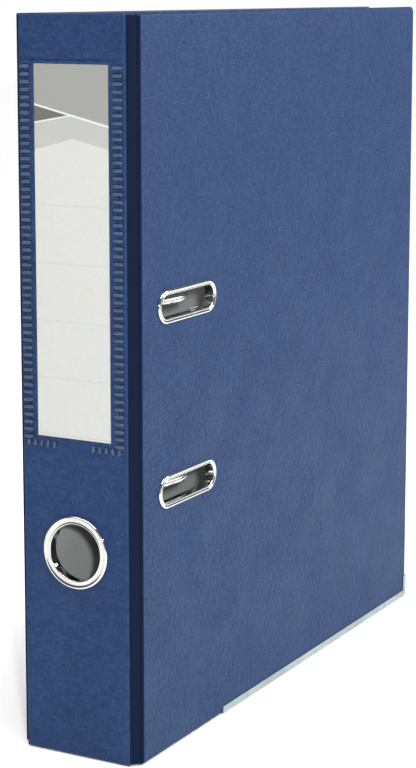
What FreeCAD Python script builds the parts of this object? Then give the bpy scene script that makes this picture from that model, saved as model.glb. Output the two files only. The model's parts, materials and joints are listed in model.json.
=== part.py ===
import FreeCAD, Part
import math
import os
import Sketcher
from FreeCAD import Placement, Rotation, Vector

# A lever arch file for A4 sheets, standing on the steel rails under its two covers.
# X runs across the spine, from the back cover to the front cover. Y runs from the
# spine to the fore edge. Z is up. The front cover is square to the spine, and the
# back cover leans in towards it, because the covers of a shut file close together.
# The pieces on the back cover are drawn as if it stood square, and one placement
# turns all of them about the back hinge line.

SIZES = (
    # the case
    ("file_height", 318.0),
    ("cover_depth", 285.0),
    ("spine_width", 60.0),
    ("cover_taper", 7.0),
    ("hinge_set", 4.0),
    ("base_gap", 0.5),
    ("board_thick", 2.2),
    ("film_thick", 0.25),
    ("lining_thick", 0.2),
    ("hinge_film_foot", 0.6),
    ("corner_round", 3.0),
    ("cut_over", 1.0),
    # steel rails on the lower edges of the covers
    ("rail_start", 76.0),
    ("rail_flange", 3.3),
    ("rail_rise", 11.5),
    ("rail_thick", 0.5),
    # the finger ring in the spine
    ("ring_height", 91.0),
    ("ring_bore", 12.4),
    ("ring_barrel", 13.3),
    ("ring_flange", 16.0),
    ("ring_proud", 1.0),
    ("ring_curl", 14.1),
    ("ring_round", 0.6),
    ("ring_lip", 0.55),
    ("ring_edge", 0.35),
    ("curl_rise", 0.45),
    ("washer_thick", 0.65),
    ("washer_play", 0.05),
    # the label pocket on the spine
    ("pocket_width", 50.0),
    ("pocket_low", 135.5),
    ("pocket_tall", 164.0),
    ("pocket_thick", 0.6),
    ("card_width", 36.0),
    ("card_tall", 157.0),
    ("card_thick", 0.3),
    ("card_gap", 0.05),
    ("card_play", 0.75),
    ("card_seat", 5.0),
    ("notch_width", 14.5),
    ("notch_rise", 5.0),
    ("notch_slope", 2.0),
    # the two slots of the front cover
    ("mechanism_height", 155.5),
    ("ring_spacing", 80.0),
    ("slot_centre", 43.4),
    ("slot_length", 45.5),
    ("slot_width", 10.0),
    ("rim_wall", 0.5),
    ("rim_flange", 2.25),
    ("rim_proud", 1.0),
    ("rim_curl", 1.1),
    ("rim_round", 0.7),
    ("backing_thick", 0.6),
    ("catch_wide", 7.0),
    ("catch_foot", 3.0),
    ("catch_reach", 1.6),
    ("catch_offset", 5.8),
    ("catch_thick", 1.0),
    ("catch_root", 0.2),
    # the mechanism's base plate
    ("plate_thick", 1.0),
    ("plate_near", 19.0),
    ("plate_far", 74.0),
    ("plate_half", 62.0),
    ("plate_round", 8.0),
    ("bead_rise", 0.6),
    ("bead_length", 34.0),
    ("bead_width", 5.0),
    ("bead_inset", 8.0),
    ("boss_radius", 5.5),
    ("rivet_inset", 6.0),
    ("rivet_radius", 2.0),
    ("rivet_head", 4.0),
    ("rivet_head_thick", 0.8),
    ("rivet_slope", 1.2),
    ("rivet_edge", 0.3),
    # the wire, its axle and the posts
    ("wire_radius", 2.0),
    ("axle_depth", 31.0),
    ("axle_rise", 3.5),
    ("post_depth", 67.0),
    ("post_top", 28.5),
    ("post_gap", 0.3),
    ("arch_top", 44.0),
    ("arch_bend", 14.0),
    ("axle_bend", 5.0),
    ("crank_reach", 14.0),
    ("crank_bend", 4.0),
    ("crank_high", 167.5),
    ("crank_low", 151.5),
    ("lug_radius", 3.4),
    ("lug_gap", 12.0),
    ("lug_spread", 30.0),
    ("lug_long", 8.0),
    ("lug_short", 6.0),
    ("bore_play", 0.06),
    ("collar_radius", 3.5),
    ("collar_thick", 1.0),
    ("socket_radius", 1.7),
    ("nose_radius", 1.5),
    ("nose_length", 1.3),
    # the lever
    ("pivot_height", 177.5),
    ("pivot_rise", 7.0),
    ("pivot_radius", 1.5),
    ("pivot_head", 2.6),
    ("pin_head_thick", 0.8),
    ("pin_flange", 0.7),
    ("ear_near", 37.0),
    ("ear_far", 51.0),
    ("ear_thick", 1.0),
    ("ear_radius", 4.5),
    ("side_play", 0.2),
    ("roller_height", 159.5),
    ("roller_rise", 8.8),
    ("roller_radius", 3.0),
    ("roller_pin_radius", 1.0),
    ("roller_inset", 1.3),
    ("lever_end", 137.5),
    ("tail_low", 0.1),
    ("tail_high", 2.4),
    ("web_rise", 6.4),
    ("web_start", 13.0),
    ("web_stop", 8.0),
    ("tail_solid", 9.0),
    ("cheek_end", 3.6),
    ("cheek_low", 3.8),
    ("grip_end", 136.0),
    ("grip_top", 146.5),
    ("grip_wall", 1.0),
    ("lip_height", 1.4),
    ("lip_rise", 6.0),
    # the compressor bar
    ("bar_width", 12.0),
    ("bar_half", 52.0),
    ("bar_rise", 6.0),
    ("bar_thick", 1.0),
    ("bar_fold", 2.0),
    ("bar_round", 3.0),
    ("fold_inset", 6.0),
    ("clip_radius", 5.0),
    ("clip_neck", 3.2),
    ("clip_flange", 4.0),
    ("clip_rise", 5.0),
    ("clip_tall", 5.0),
    ("clip_slope", 0.8),
    ("clip_step", 0.6),
)

doc = FreeCAD.newDocument("LeverArchFile")
sheet = doc.addObject("Spreadsheet::Sheet", "Sizes")
for row, (alias, size) in enumerate(SIZES, start=1):
    sheet.set("A%d" % row, str(size))
    sheet.setAlias("A%d" % row, alias)
doc.recompute()
S = {alias: sheet.get(alias) for alias, size in SIZES}
PARTS = []


# ---------------------------------------------------------------- expressions
# Sizes are written with the bare words of the sheet. "bound" turns such a text
# into an expression on the sheet, and "number" gives its present value.

HALF = "spine_width / 2"
SKIN = "(film_thick + board_thick + lining_thick)"
COVER_END = "(cover_depth - rail_thick)"
FLOOR = "(%s - spine_width / 2)" % SKIN
HINGE_X = "(spine_width / 2 - hinge_set / 2)"
HINGE_Y = "(hinge_set / 2)"


def bound(text):
    pieces = []
    word = ""
    for letter in str(text) + " ":
        if letter.isalnum() or letter in "_.":
            word += letter
            continue
        pieces.append("Sizes." + word if word in S else word)
        pieces.append(letter)
        word = ""
    return "".join(pieces).strip()


def number(text):
    return float(sheet.evalExpression(bound(text)))


def across(rise):
    """X of a height above the back cover's inner face."""
    return "%s + %s" % (FLOOR, rise)


# ------------------------------------------------------------------ placements

def case_seat():
    """The whole file is moved so that the origin is under the middle of its box."""
    turned = math.radians(S["cover_taper"])
    reach = S["hinge_set"] / 2
    low_x = -number(HINGE_X) - reach * math.cos(turned) + reach * math.sin(turned)
    high_x = S["spine_width"] / 2 + S["rim_proud"]
    low_y = -S["ring_proud"]
    high_y = S["cover_depth"]
    return Placement(Vector(-(low_x + high_x) / 2, -(low_y + high_y) / 2, 0), Rotation())


def back_seat():
    """The back cover and all that is on it, turned about the back hinge line."""
    hinge = Vector(-number(HINGE_X), number(HINGE_Y), 0)
    turn = Rotation(Vector(0, 0, 1), -S["cover_taper"])
    return case_seat().multiply(Placement(Vector(0, 0, 0), turn, hinge))


CASE = case_seat()
BACK = back_seat()


# --------------------------------------------------------------- modelling aids

def new_body(label, seat):
    body = doc.addObject("PartDesign::Body", label)
    body.Label = label
    body.Placement = seat
    PARTS.append(body)
    return body


def own_plane(body, role):
    return next(plane for plane in body.Origin.OriginFeatures if plane.Role == role)


def new_sketch(body, role, offset="0"):
    """A sketch on one of the body's own origin planes, moved along its normal."""
    sketch = body.newObject("Sketcher::SketchObject", body.Label + "_sketch")
    sketch.AttachmentSupport = [(own_plane(body, role), "")]
    sketch.MapMode = "FlatFace"
    sketch.setExpression("AttachmentOffset.Base.z", bound(offset))
    return sketch


def bind(sketch, kind, places, text):
    """One dimension of a sketch, bound to the sheet."""
    index = sketch.addConstraint(Sketcher.Constraint(kind, *places, number(text)))
    sketch.setExpression("Constraints[%d]" % index, bound(text))


def polygon(sketch, corners):
    first = sketch.GeometryCount
    places = [Vector(number(x), number(y), 0) for x, y in corners]
    count = len(corners)
    for i in range(count):
        sketch.addGeometry(Part.LineSegment(places[i], places[(i + 1) % count]), False)
    for i in range(count):
        following = first + (i + 1) % count
        sketch.addConstraint(Sketcher.Constraint("Coincident", first + i, 2, following, 1))
    for i, (x, y) in enumerate(corners):
        bind(sketch, "DistanceX", (-1, 1, first + i, 1), x)
        bind(sketch, "DistanceY", (-1, 1, first + i, 1), y)


def rectangle(sketch, left, low, right, high):
    polygon(sketch, ((left, low), (right, low), (right, high), (left, high)))


def circle(sketch, x, y, radius):
    index = sketch.addGeometry(
        Part.Circle(Vector(number(x), number(y), 0), Vector(0, 0, 1), number(radius)), False
    )
    bind(sketch, "DistanceX", (-1, 1, index, 3), x)
    bind(sketch, "DistanceY", (-1, 1, index, 3), y)
    bind(sketch, "Radius", (index,), radius)


def stadium(sketch, x, y, length, width):
    """A slot with round ends, long in the sketch's first direction."""
    radius = number(width) / 2
    shift = "((%s) - (%s)) / 2" % (length, width)
    first = sketch.GeometryCount
    for side, start in ((1, -math.pi / 2), (-1, math.pi / 2)):
        middle = Vector(number(x) + side * number(shift), number(y), 0)
        ring = Part.Circle(middle, Vector(0, 0, 1), radius)
        sketch.addGeometry(Part.ArcOfCircle(ring, start, start + math.pi), False)
    high = [Vector(number(x) + side * number(shift), number(y) + radius, 0) for side in (1, -1)]
    low = [Vector(number(x) + side * number(shift), number(y) - radius, 0) for side in (-1, 1)]
    sketch.addGeometry(Part.LineSegment(*high), False)
    sketch.addGeometry(Part.LineSegment(*low), False)
    right, left, top, bottom = range(first, first + 4)
    for before, after in ((right, top), (top, left), (left, bottom), (bottom, right)):
        sketch.addConstraint(Sketcher.Constraint("Tangent", before, 2, after, 1))
    sketch.addConstraint(Sketcher.Constraint("Equal", right, left))
    for end, sign in ((right, "+"), (left, "-")):
        bind(sketch, "DistanceX", (-1, 1, end, 3), "(%s) %s (%s)" % (x, sign, shift))
        bind(sketch, "DistanceY", (-1, 1, end, 3), y)
    bind(sketch, "Radius", (right,), "(%s) / 2" % width)


def pad(body, sketch, length):
    feature = body.newObject("PartDesign::Pad", body.Label + "_pad")
    feature.Profile = sketch
    feature.setExpression("Length", bound(length))
    doc.recompute()
    return feature


def pocket(body, sketch, length=None):
    """A cut along the sketch's normal, or right through when no length is given."""
    feature = body.newObject("PartDesign::Pocket", body.Label + "_pocket")
    feature.Profile = sketch
    if length is None:
        feature.Type = "ThroughAll"
        feature.Midplane = True
    else:
        feature.Reversed = True
        feature.setExpression("Length", bound(length))
    doc.recompute()
    return feature


def revolve(body, sketch, axis="V_Axis"):
    feature = body.newObject("PartDesign::Revolution", body.Label + "_turned")
    feature.Profile = sketch
    feature.ReferenceAxis = (sketch, [axis])
    feature.Angle = 360.0
    doc.recompute()
    return feature


def round_edges(body, radius, chosen):
    """Fillet the tip's edges that the test picks."""
    base = body.Tip
    names = []
    for i, edge in enumerate(base.Shape.Edges, start=1):
        if chosen(edge):
            names.append("Edge%d" % i)
    feature = body.newObject("PartDesign::Fillet", body.Label + "_fillet")
    feature.Base = (base, names)
    feature.setExpression("Radius", bound(radius))
    doc.recompute()
    return feature


def runs_along(edge, axis):
    """True for a straight edge parallel to the axis."""
    if edge.Curve.TypeId != "Part::GeomLine":
        return False
    return abs(abs(edge.Curve.Direction.dot(axis)) - 1) < 1e-6


def near(a, b):
    return abs(a - b) < 1e-4


X_AXIS = Vector(1, 0, 0)


def copies(label, seat, source, moves):
    """Equal pieces that share one node, as separate solids."""
    feature = doc.addObject("Part::Feature", label)
    feature.Label = label
    solids = []
    for move in moves:
        solid = source.copy()
        solid.translate(move)
        solids.append(solid)
    feature.Shape = Part.makeCompound(solids)
    feature.Placement = seat
    PARTS.append(feature)
    return feature


# ----------------------------------------------------------- boards and skins

def slot_heights():
    upper = "mechanism_height + ring_spacing / 2"
    lower = "mechanism_height - ring_spacing / 2"
    return (("upper", upper), ("lower", lower))


def rivet_places():
    inset = "rivet_inset"
    near_row = "plate_near + " + inset
    far_row = "plate_far - " + inset
    low = "mechanism_height - plate_half + " + inset
    high = "mechanism_height + plate_half - " + inset
    return [(depth, height) for depth in (near_row, far_row) for height in (low, high)]


def cover_layer(label, seat, start, thick, margin, cut):
    """A flat layer of a cover: its board or its lining."""
    body = new_body(label, seat)
    outline = new_sketch(body, "YZ_Plane", start)
    rectangle(
        outline,
        "hinge_set + " + margin, "base_gap + " + margin,
        COVER_END + " - " + margin, "file_height - " + margin,
    )
    pad(body, outline, thick)
    far = number(COVER_END + " - " + margin)
    round_edges(
        body, "corner_round - " + margin,
        lambda e: runs_along(e, X_AXIS) and near(e.CenterOfMass.y, far),
    )
    cut(body)
    return body


def cover_film(label, seat, outer, inner, recess_start, cut):
    """The outer film of a cover, turned in round the edges of its board."""
    body = new_body(label, seat)
    low = min((outer, inner), key=number)
    outline = new_sketch(body, "YZ_Plane", low)
    rectangle(outline, "hinge_set", "base_gap", COVER_END, "file_height")
    pad(body, outline, SKIN)
    recess = new_sketch(body, "YZ_Plane", recess_start)
    edge = "film_thick"
    rectangle(
        recess,
        "hinge_set + " + edge, "base_gap + " + edge,
        COVER_END + " - " + edge, "file_height - " + edge,
    )
    pocket(body, recess, "board_thick + lining_thick")
    for inset in ("film_thick", "0"):
        far = number(COVER_END + " - " + inset)
        round_edges(
            body, "corner_round - " + inset,
            lambda e: runs_along(e, X_AXIS) and near(e.CenterOfMass.y, far),
        )
    cut(body)
    return body


def cut_slots(body):
    """The two slots of the front cover, wide enough for the barrels of the rims."""
    for name, height in slot_heights():
        hole = new_sketch(body, "YZ_Plane", HALF)
        stadium(
            hole, "slot_centre", height,
            "slot_length + 2 * rim_wall", "slot_width + 2 * rim_wall",
        )
        pocket(body, hole)


def cut_rivets(body):
    """The holes of the rivets that hold the mechanism."""
    holes = new_sketch(body, "YZ_Plane")
    for depth, height in rivet_places():
        circle(holes, depth, height, "rivet_radius")
    pocket(body, holes)


def front_cover():
    inner = "spine_width / 2 - %s" % SKIN
    board = "spine_width / 2 - film_thick - board_thick"
    cover_layer("front_board", CASE, board, "board_thick", "film_thick", cut_slots)
    cover_film("front_film", CASE, HALF, inner, inner, cut_slots)
    cover_layer("front_lining", CASE, inner, "lining_thick", "film_thick", cut_slots)
    cover_rail("front_rail", CASE, inner)


def back_cover():
    outer = "-spine_width / 2"
    board = "film_thick - spine_width / 2"
    lining = "film_thick + board_thick - spine_width / 2"
    cover_layer("back_board", BACK, board, "board_thick", "film_thick", cut_rivets)
    cover_film("back_film", BACK, outer, FLOOR, board, cut_rivets)
    cover_layer("back_lining", BACK, lining, "lining_thick", "film_thick", cut_rivets)
    cover_rail("back_rail", BACK, outer)


def cover_rail(label, seat, start):
    """A steel channel on the lower edge, turned up round the fore-edge corner."""
    body = new_body(label, seat)
    outline = new_sketch(body, "YZ_Plane", "%s - rail_thick" % start)
    polygon(outline, (
        ("rail_start", "0"), ("cover_depth", "0"),
        ("cover_depth", "rail_rise"), ("cover_depth - rail_flange", "rail_rise"),
        ("cover_depth - rail_flange", "rail_flange"), ("rail_start", "rail_flange"),
    ))
    pad(body, outline, "%s + 2 * rail_thick" % SKIN)
    throat = new_sketch(body, "YZ_Plane", start)
    rectangle(throat, "rail_start - cut_over", "base_gap", COVER_END, "rail_rise + cut_over")
    pocket(body, throat, SKIN)
    for inset in ("rail_thick", "0"):
        far = number("cover_depth - " + inset)
        low = number(inset)
        round_edges(
            body, "corner_round + rail_thick - " + inset,
            lambda e: runs_along(e, X_AXIS)
            and near(e.CenterOfMass.y, far) and near(e.CenterOfMass.z, low),
        )


# ------------------------------------------------------------------------ spine

SPINE_EDGE = "spine_width / 2 - hinge_set"


def spine_layer(label, start, thick):
    """A flat layer of the spine with the hole of the finger ring."""
    body = new_body(label, CASE)
    outline = new_sketch(body, "XZ_Plane", "-(%s)" % start)
    side = SPINE_EDGE + " - film_thick"
    rectangle(
        outline, "-(%s)" % side, "base_gap + film_thick", side, "file_height - film_thick"
    )
    feature = pad(body, outline, thick)
    feature.Reversed = True
    doc.recompute()
    cut_ring(body)


def cut_ring(body):
    hole = new_sketch(body, "XZ_Plane")
    circle(hole, "0", "ring_height", "ring_barrel")
    pocket(body, hole)


def spine_film():
    body = new_body("spine_film", CASE)
    outline = new_sketch(body, "XZ_Plane")
    rectangle(outline, "-(%s)" % SPINE_EDGE, "base_gap", SPINE_EDGE, "file_height")
    feature = pad(body, outline, SKIN)
    feature.Reversed = True
    doc.recompute()
    recess = new_sketch(body, "XZ_Plane", "-film_thick")
    side = SPINE_EDGE + " - film_thick"
    rectangle(
        recess, "-(%s)" % side, "base_gap + film_thick", side, "file_height - film_thick"
    )
    cut = pocket(body, recess, "board_thick + lining_thick")
    cut.Reversed = False
    doc.recompute()
    cut_ring(body)


def turned_back(x, y):
    """A point of the back cover's section after the cover leans in."""
    over = "((%s) + %s)" % (x, HINGE_X)
    along = "((%s) - %s)" % (y, HINGE_Y)
    angle = "cover_taper * 1 deg"
    new_x = "%s * cos(%s) + %s * sin(%s) - %s" % (over, angle, along, angle, HINGE_X)
    new_y = "%s * cos(%s) - %s * sin(%s) + %s" % (along, angle, over, angle, HINGE_Y)
    return new_x, new_y


def hinge_films():
    """The strips of film between the spine and the covers, drawn square when shut."""
    foot = "hinge_film_foot"
    front = (
        (SPINE_EDGE, "0"), (HALF, "hinge_set"),
        (HALF + " - " + foot, "hinge_set"), (SPINE_EDGE, foot),
    )
    back = (
        ("-(%s)" % SPINE_EDGE, "0"), ("-(%s)" % SPINE_EDGE, foot),
        turned_back("-(%s - %s)" % (HALF, foot), "hinge_set"),
        turned_back("-%s" % HALF, "hinge_set"),
    )
    for label, corners in (("front_hinge_film", front), ("back_hinge_film", back)):
        body = new_body(label, CASE)
        outline = new_sketch(body, "XY_Plane", "base_gap")
        polygon(outline, corners)
        pad(body, outline, "file_height - base_gap")


def finger_ring():
    """An eyelet: a domed flange outside, a barrel, and a curl over the washer."""
    washer = "%s + washer_thick" % SKIN
    body = new_body("finger_ring", CASE)
    profile = new_sketch(body, "XY_Plane", "ring_height")
    polygon(profile, (
        ("ring_bore", "-ring_lip"), ("ring_bore + ring_round", "-ring_proud"),
        ("ring_flange - ring_round", "-ring_proud"), ("ring_flange", "-ring_edge"),
        ("ring_flange", "0"), ("ring_barrel", "0"), ("ring_barrel", washer),
        ("ring_curl", washer), ("ring_curl", washer + " + curl_rise"),
        ("ring_bore", washer + " + curl_rise"),
    ))
    revolve(body, profile)
    backing = new_body("finger_ring_backing", CASE)
    face = new_sketch(backing, "XZ_Plane", "-%s" % SKIN)
    circle(face, "0", "ring_height", "ring_flange - ring_round / 2")
    circle(face, "0", "ring_height", "ring_barrel + washer_play")
    feature = pad(backing, face, "washer_thick")
    feature.Reversed = True
    doc.recompute()


def label_pocket():
    """A clear pocket welded to the spine, with a thumb notch at its lower edge."""
    body = new_body("label_pocket", CASE)
    outline = new_sketch(body, "XZ_Plane")
    rectangle(
        outline, "-pocket_width / 2", "pocket_low",
        "pocket_width / 2", "pocket_low + pocket_tall",
    )
    pad(body, outline, "pocket_thick")
    room = new_sketch(body, "XZ_Plane")
    side = "card_width / 2 + card_play"
    low = "pocket_low + card_seat - card_play"
    rectangle(
        room, "-(%s)" % side, low, side, "pocket_low + pocket_tall - card_play",
    )
    pocket(body, room, "card_thick + 2 * card_gap")
    notch = new_sketch(body, "XZ_Plane")
    polygon(notch, (
        ("-notch_width / 2", "pocket_low - cut_over"),
        ("notch_width / 2", "pocket_low - cut_over"),
        ("notch_width / 2 - notch_slope", "pocket_low + notch_rise"),
        ("notch_slope - notch_width / 2", "pocket_low + notch_rise"),
    ))
    pocket(body, notch)
    card = new_body("label_card", CASE)
    face = new_sketch(card, "XZ_Plane", "card_gap")
    rectangle(
        face, "-card_width / 2", low + " + card_play",
        "card_width / 2", low + " + card_play + card_tall",
    )
    pad(card, face, "card_thick")


def spine():
    spine_layer("spine_board", "film_thick", "board_thick")
    spine_film()
    spine_layer("spine_lining", "film_thick + board_thick", "lining_thick")
    hinge_films()
    finger_ring()
    label_pocket()


# ------------------------------------------------------------------- slot rims

def slot_rims():
    """Oblong eyelets with a catch for the arch on their lower side."""
    inner = "spine_width / 2 - %s" % SKIN
    back = "%s - backing_thick" % inner
    for name, height in slot_heights():
        body = new_body("slot_rim_" + name, CASE)
        flange = new_sketch(body, "YZ_Plane", HALF)
        reach = "2 * rim_flange"
        stadium(
            flange, "slot_centre", height, "slot_length + " + reach, "slot_width + " + reach
        )
        pad(body, flange, "rim_proud")
        round_edges(
            body, "rim_round",
            lambda e: near(e.CenterOfMass.x, number(HALF + " + rim_proud")),
        )
        barrel = new_sketch(body, "YZ_Plane", back)
        stadium(
            barrel, "slot_centre", height,
            "slot_length + 2 * rim_wall", "slot_width + 2 * rim_wall",
        )
        pad(body, barrel, SKIN + " + backing_thick")
        curl = new_sketch(body, "YZ_Plane", back + " - rim_wall")
        reach = "2 * rim_curl"
        stadium(
            curl, "slot_centre", height, "slot_length + " + reach, "slot_width + " + reach
        )
        pad(body, curl, "rim_wall")
        opening = new_sketch(body, "YZ_Plane", HALF)
        stadium(opening, "slot_centre", height, "slot_length", "slot_width")
        pocket(body, opening)
        catch = new_sketch(body, "YZ_Plane", HALF + " - catch_thick")
        middle = "slot_centre + catch_offset"
        low = "%s - slot_width / 2" % height
        polygon(catch, (
            (middle + " - catch_foot / 2", low + " - catch_root"),
            (middle + " + catch_foot / 2", low + " - catch_root"),
            (middle + " + catch_wide / 2", low + " + catch_reach"),
            (middle + " - catch_wide / 2", low + " + catch_reach"),
        ))
        pad(body, catch, "catch_thick")
        ring = new_body("slot_backing_" + name, CASE)
        face = new_sketch(ring, "YZ_Plane", back)
        reach = "2 * rim_flange"
        stadium(
            face, "slot_centre", height, "slot_length + " + reach, "slot_width + " + reach
        )
        stadium(
            face, "slot_centre", height,
            "slot_length + 2 * rim_wall", "slot_width + 2 * rim_wall",
        )
        pad(ring, face, "backing_thick")


# ------------------------------------------------------------------- mechanism

LUGS = (
    ("crank_high + lug_gap", "lug_long"), ("crank_low - lug_gap", "lug_short"),
    ("crank_low - lug_spread", "lug_long"),
)


def base_plate():
    """The stamped plate, with lugs curled round the axle and ears for the lever."""
    body = new_body("base_plate", BACK)
    outline = new_sketch(body, "YZ_Plane", FLOOR)
    low = "mechanism_height - plate_half"
    high = "mechanism_height + plate_half"
    rectangle(outline, "plate_near", low, "plate_far", high)
    pad(body, outline, "plate_thick")
    round_edges(body, "plate_round", lambda e: runs_along(e, X_AXIS))
    for name, height in slot_heights():
        boss = new_sketch(body, "YZ_Plane", across("plate_thick"))
        circle(boss, "post_depth", height, "boss_radius")
        pad(body, boss, "bead_rise")
    for side in (1, -1):
        bead = new_sketch(body, "YZ_Plane", across("plate_thick"))
        place = "mechanism_height + %d * (plate_half - bead_inset)" % side
        stadium(bead, "(plate_near + plate_far) / 2", place, "bead_length", "bead_width")
        pad(body, bead, "bead_rise")
    for depth in ("ear_near", "ear_far - ear_thick"):
        ear = new_sketch(body, "XZ_Plane", "-(%s)" % depth)
        rectangle(
            ear, across("plate_thick / 2"), "pivot_height - ear_radius",
            across("pivot_rise"), "pivot_height + ear_radius",
        )
        pad(body, ear, "ear_thick").Reversed = True
        doc.recompute()
        tip = new_sketch(body, "XZ_Plane", "-(%s)" % depth)
        circle(tip, across("pivot_rise"), "pivot_height", "ear_radius")
        pad(body, tip, "ear_thick").Reversed = True
        doc.recompute()
    bore = new_sketch(body, "XZ_Plane")
    circle(bore, across("pivot_rise"), "pivot_height", "pivot_radius")
    pocket(body, bore)
    for height, length in LUGS:
        foot = new_sketch(body, "XY_Plane", height)
        rectangle(
            foot, across("plate_thick / 2"), "axle_depth - lug_radius",
            across("axle_rise"), "axle_depth + lug_radius",
        )
        pad(body, foot, length)
        loop = new_sketch(body, "XY_Plane", height)
        circle(loop, across("axle_rise"), "axle_depth", "lug_radius")
        pad(body, loop, length)
        axle = new_sketch(body, "XY_Plane", height)
        circle(axle, across("axle_rise"), "axle_depth", "wire_radius + bore_play")
        pocket(body, axle, length)
    cut_rivets(body)
    seats = new_sketch(body, "YZ_Plane")
    for name, height in slot_heights():
        circle(seats, "post_depth", height, "wire_radius")
    pocket(body, seats)


def turned_piece(body, profile):
    """Revolve a profile of (radius, rise) about the local vertical and lay it over."""
    sketch = new_sketch(body, "XY_Plane")
    polygon(sketch, profile)
    return revolve(body, sketch)


def laid_along_x(depth, height):
    """Placement that turns a local Y axis on to X, at a place of the back cover."""
    spot = Vector(number(FLOOR), number(depth), number(height))
    return BACK.multiply(Placement(spot, Rotation(Vector(0, 0, 1), -90)))


def posts():
    """Fixed posts with a foot collar and a cone for the nose of the arch."""
    collar = "plate_thick + bead_rise"
    for name, height in slot_heights():
        body = new_body("post_" + name, laid_along_x("post_depth", height))
        turned_piece(body, (
            ("0", "0"), ("wire_radius", "0"), ("wire_radius", collar),
            ("collar_radius", collar), ("collar_radius", collar + " + collar_thick"),
            ("wire_radius", collar + " + collar_thick"), ("wire_radius", "post_top"),
            ("socket_radius", "post_top"), ("0", "post_top - socket_radius"),
        ))


def rivets():
    """Rivets through plate and cover, with a flat head outside and a curl inside."""
    body = doc.addObject("PartDesign::Body", "rivet")
    outside = "-%s" % SKIN
    turned_piece(body, (
        ("0", outside + " - rivet_head_thick"),
        ("rivet_head - rivet_slope", outside + " - rivet_head_thick"),
        ("rivet_head", outside + " - rivet_edge"), ("rivet_head", outside),
        ("rivet_radius", outside), ("rivet_radius", "plate_thick"),
        ("rivet_head - rivet_slope / 2", "plate_thick"),
        ("rivet_head - rivet_slope", "plate_thick + rivet_head_thick"),
        ("0", "plate_thick + rivet_head_thick / 2"),
    ))
    upright = body.Shape.copy()
    upright.rotate(Vector(0, 0, 0), Vector(0, 0, 1), -90)
    spots = [
        Vector(number(FLOOR), number(depth), number(height)) for depth, height in rivet_places()
    ]
    copies("plate_rivets", BACK, upright, spots)


def bent_wire(points, bends, radius):
    """A round wire along straight runs that are joined by tangent arcs."""
    edges = []
    start = points[0]
    for i in range(1, len(points) - 1):
        corner = points[i]
        come = (corner - points[i - 1]).normalize()
        leave = (points[i + 1] - corner).normalize()
        half_turn = come.getAngle(leave) / 2
        step = bends[i - 1] * math.tan(half_turn)
        enter = corner - come * step
        exit_point = corner + leave * step
        inward = (leave - come).normalize()
        middle = corner + inward * (bends[i - 1] / math.cos(half_turn) - bends[i - 1])
        if (enter - start).Length > 1e-6:
            edges.append(Part.LineSegment(start, enter).toShape())
        edges.append(Part.Arc(enter, middle, exit_point).toShape())
        start = exit_point
    edges.append(Part.LineSegment(start, points[-1]).toShape())
    path = Part.Wire(edges)
    section = Part.Wire([Part.Circle(points[0], points[1] - points[0], radius).toShape()])
    return path.makePipeShell([section], True, False), path.Length


def arch_bracket():
    """Both arches, their axle and the crank, bent from one wire."""
    floor = number(FLOOR)
    foot = floor + S["post_top"] + S["post_gap"]
    top = floor + S["arch_top"]
    low = floor + S["axle_rise"]
    post = S["post_depth"]
    axle = S["axle_depth"]
    crank = axle + S["crank_reach"]
    upper = number(slot_heights()[0][1])
    lower = number(slot_heights()[1][1])
    half = [
        Vector(foot, post, upper), Vector(top, post, upper), Vector(top, axle, upper),
        Vector(low, axle, upper), Vector(low, axle, S["crank_high"]),
        Vector(low, crank, S["crank_high"]),
    ]
    other = [
        Vector(low, crank, S["crank_low"]), Vector(low, axle, S["crank_low"]),
        Vector(low, axle, lower), Vector(top, axle, lower), Vector(top, post, lower),
        Vector(foot, post, lower),
    ]
    half_bends = [
        S["arch_bend"], S["arch_bend"], S["axle_bend"], S["crank_bend"], S["crank_bend"]
    ]
    wire, length = bent_wire(half + other, half_bends + half_bends[::-1], S["wire_radius"])
    expected = math.pi * S["wire_radius"] ** 2 * length
    print("arch wire: %.1f mm long, volume %.4f of its section" % (length, wire.Volume / expected))
    for height in (upper, lower):
        nose = Part.makeCone(
            S["nose_radius"], S["nose_radius"] - S["nose_length"], S["nose_length"],
            Vector(foot, post, height), Vector(-1, 0, 0),
        )
        wire = wire.fuse(nose)
    feature = doc.addObject("Part::Feature", "arch_bracket")
    feature.Label = "arch_bracket"
    feature.Shape = wire.removeSplitter()
    feature.Placement = BACK
    PARTS.append(feature)


def pin(label, rise, height, radius, head, near_end, far_end):
    """A headed pin across the lever, with its length along the local Y."""
    body = new_body(label, BACK)
    shank = new_sketch(body, "XZ_Plane", "-(%s)" % near_end)
    circle(shank, across(rise), height, radius)
    pad(body, shank, "(%s) - (%s)" % (far_end, near_end)).Reversed = True
    doc.recompute()
    for place in ("(%s) - pin_head_thick" % near_end, far_end):
        cap = new_sketch(body, "XZ_Plane", "-(%s)" % place)
        circle(cap, across(rise), height, head)
        pad(body, cap, "pin_head_thick").Reversed = True
        doc.recompute()


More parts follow.
